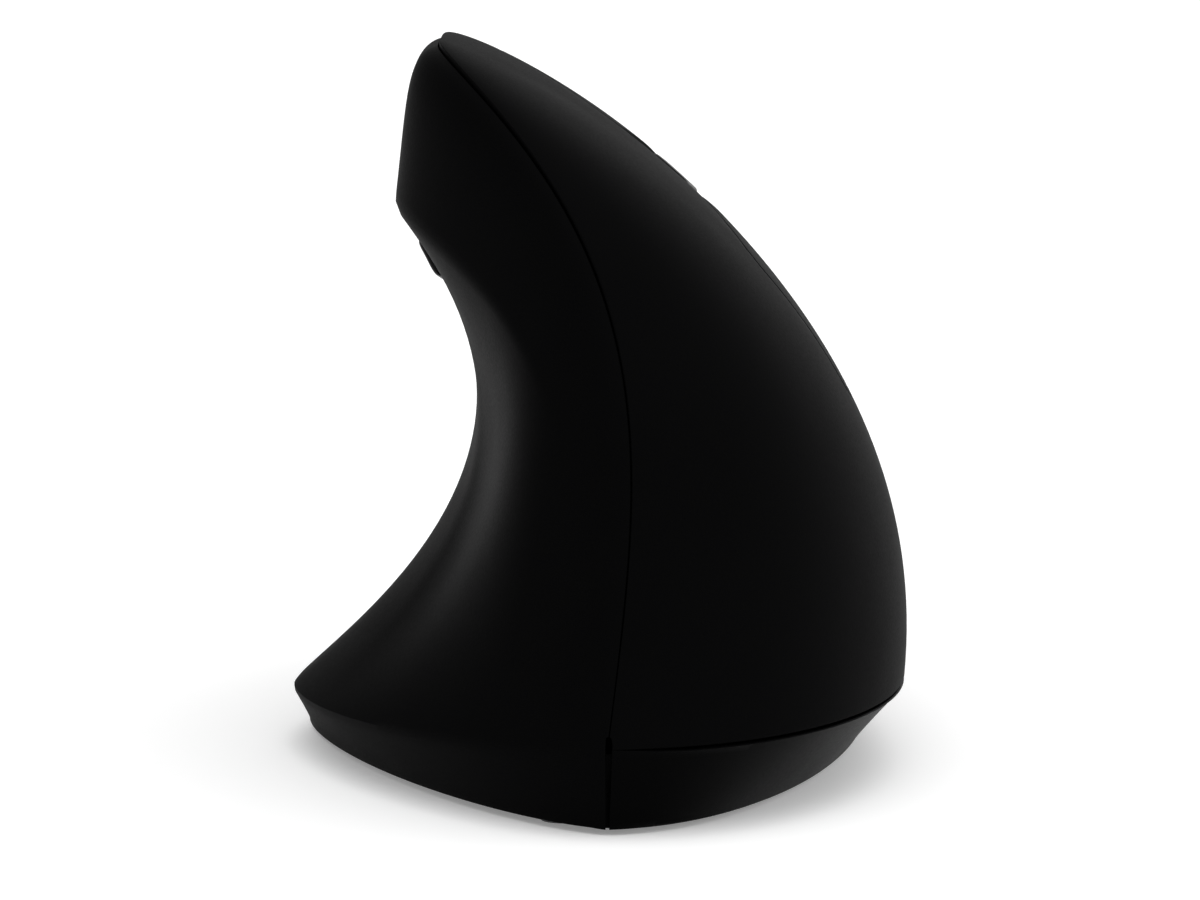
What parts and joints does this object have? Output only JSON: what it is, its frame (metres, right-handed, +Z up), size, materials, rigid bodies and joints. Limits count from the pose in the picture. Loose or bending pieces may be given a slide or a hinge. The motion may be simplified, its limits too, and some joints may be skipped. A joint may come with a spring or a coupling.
{
  "type": "vertical computer mouse",
  "caption": "Wireless vertical mouse for the right hand: tall arched casing with a thumb hollow, click plates, scroll wheel, thumb buttons and a base with a battery door.",
  "frame": {"origin": "on the desk, under the middle of the bounding box", "axes": "+X to the palm side, +Y to the nose, +Z up"},
  "size_m": [0.0637, 0.12, 0.0742],
  "materials": {
    "soft_shell": "soft-touch satin",
    "base_plastic": "fine-textured satin",
    "trim_plastic": "semi-gloss",
    "tyre_rubber": "ribbed matte",
    "hub_plastic": "satin",
    "steel": "bright",
    "white_plastic": "plain",
    "switch_plastic": "plain",
    "gate_plastic": "dark red",
    "clear_plastic": "clear",
    "circuit_board": "solder mask",
    "frame_plastic": "plain",
    "cable_plastic": "plain",
    "chip": "moulded",
    "lamp": "clear red",
    "cell_wrap": "plain wrapped",
    "plated_steel": "plated",
    "receiver_plastic": "semi-gloss",
    "glide": "slick"
  },
  "bodies": {
    "casing": {"base_tray": "base_plastic", "thumb_shell": "soft_shell", "palm_shell": "soft_shell", "wheel_bezel": "trim_plastic", "wheel_cradle": "white_plastic", "wheel_switch": "switch_plastic", "wheel_encoder": "gate_plastic", "index_switch": "switch_plastic", "middle_switch": "switch_plastic", "speed_switch": "switch_plastic", "light_pipe": "clear_plastic", "thumb_switches": "switch_plastic", "switch_board": "circuit_board", "inner_frame": "frame_plastic", "ribbon_cable": "cable_plastic", "main_board": "circuit_board", "optical_sensor": "chip", "sensor_lens": "clear_plastic", "sensor_light": "lamp", "power_switch": "switch_plastic", "battery_cells": "cell_wrap", "battery_contacts": "plated_steel", "glide_feet": "glide", "case_screws": "steel", "board_screws": "steel"},
    "index_plate": {"index_button": "soft_shell"},
    "middle_plate": {"middle_button": "soft_shell"},
    "wheel_carrier": {"wheel_axle": "steel"},
    "wheel": {"scroll_wheel": "hub_plastic", "wheel_tyre": "tyre_rubber"},
    "speed_key": {"speed_button": "trim_plastic"},
    "forward_key": {"forward_button": "trim_plastic"},
    "back_key": {"back_button": "trim_plastic"},
    "power_knob": {"power_slider": "frame_plastic"},
    "battery_cover": {"battery_door": "base_plastic"},
    "receiver": {"receiver_cap": "receiver_plastic", "receiver_plug": "plated_steel"}
  },
  "joints": [
    {"name": "index_click", "type": "hinge", "parent": "casing", "child": "index_plate", "pos_m": [-0.00795, 0.00833, 0.06284], "axis": [-0.6288, 0.342, 0.6983], "range_deg": [0, 1.22], "stiffness_Nm_per_rad": 0.5, "springref_deg": -0.29},
    {"name": "middle_click", "type": "hinge", "parent": "casing", "child": "middle_plate", "pos_m": [0.01431, -0.01334, 0.04552], "axis": [-0.6288, 0.342, 0.6983], "range_deg": [0, 0.73], "stiffness_Nm_per_rad": 0.5, "springref_deg": -0.29},
    {"name": "wheel_press", "type": "slide", "parent": "casing", "child": "wheel_carrier", "axis": [-0.7431, 0, -0.6691], "range_m": [0, 0.0005], "stiffness_N_per_m": 1500, "springref_m": -0.0001},
    {"name": "wheel_spin", "type": "hinge", "parent": "wheel_carrier", "child": "wheel", "pos_m": [0.00772, 0.03327, 0.0454], "axis": [0.6288, -0.342, -0.6983], "continuous": true},
    {"name": "speed_press", "type": "slide", "parent": "casing", "child": "speed_key", "axis": [-0.7431, 0, -0.6691], "range_m": [0, 0.0005], "stiffness_N_per_m": 1500, "springref_m": -0.0001},
    {"name": "forward_press", "type": "slide", "parent": "casing", "child": "forward_key", "axis": [0.7431, 0, 0.6691], "range_m": [0, 0.0005], "stiffness_N_per_m": 1500, "springref_m": -0.0001},
    {"name": "back_press", "type": "slide", "parent": "casing", "child": "back_key", "axis": [0.7431, 0, 0.6691], "range_m": [0, 0.0005], "stiffness_N_per_m": 1500, "springref_m": -0.0001},
    {"name": "power_slide", "type": "slide", "parent": "casing", "child": "power_knob", "axis": [0, 1, 0], "range_m": [0, 0.003]},
    {"name": "battery_cover_hinge", "type": "hinge", "parent": "casing", "child": "battery_cover", "pos_m": [0.0008, 0.0059, 0.0025], "axis": [1, 0, 0], "range_deg": [0, 75]},
    {"name": "receiver_slide", "type": "slide", "parent": "casing", "child": "receiver", "axis": [0, 0, -1], "range_m": [0, 0.014]}
  ]
}
